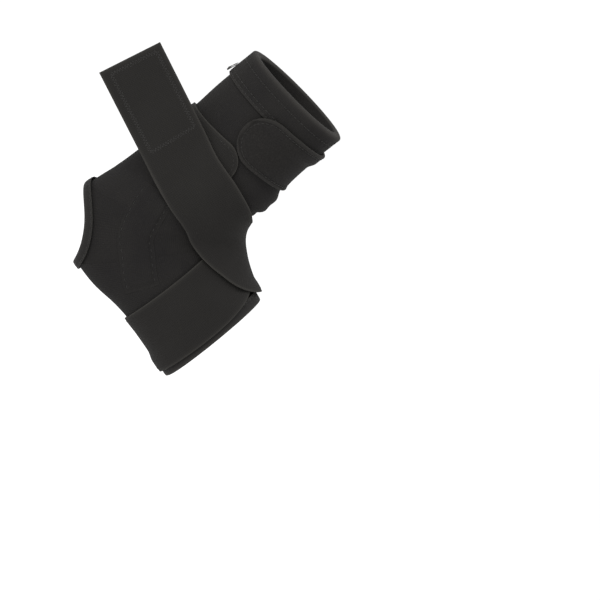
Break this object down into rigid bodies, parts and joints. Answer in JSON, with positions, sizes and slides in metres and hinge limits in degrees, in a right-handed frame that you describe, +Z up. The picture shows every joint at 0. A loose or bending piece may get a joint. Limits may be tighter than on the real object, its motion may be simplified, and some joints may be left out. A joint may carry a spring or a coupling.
{
  "type": "ankle brace",
  "caption": "Soft ankle brace in its worn form: hollow sleeve with an open heel, round-ended cuff tab and a figure-of-eight elastic strap with a free tail.",
  "frame": {"origin": "on the leg's axis at ankle height, where the brace sits on an ankle", "axes": "+Z up the leg, +X toward the toes, -Y to the outer side of a right foot"},
  "size_m": [0.1896, 0.0877, 0.2008],
  "materials": {
    "neoprene": "matt black jersey laminated on neoprene foam",
    "elastic_webbing": "matt black ribbed elastic webbing",
    "binding_tape": "black knitted binding tape",
    "hook_tape": "black hook tape"
  },
  "bodies": {
    "root": {"sleeve": "neoprene", "top_collar": "neoprene", "cuff_tab": "neoprene", "figure_eight_strap": "elastic_webbing", "strap_hook_patch": "hook_tape", "heel_binding": "binding_tape", "foot_binding": "binding_tape", "side_stay": "elastic_webbing"}
  },
  "joints": []
}
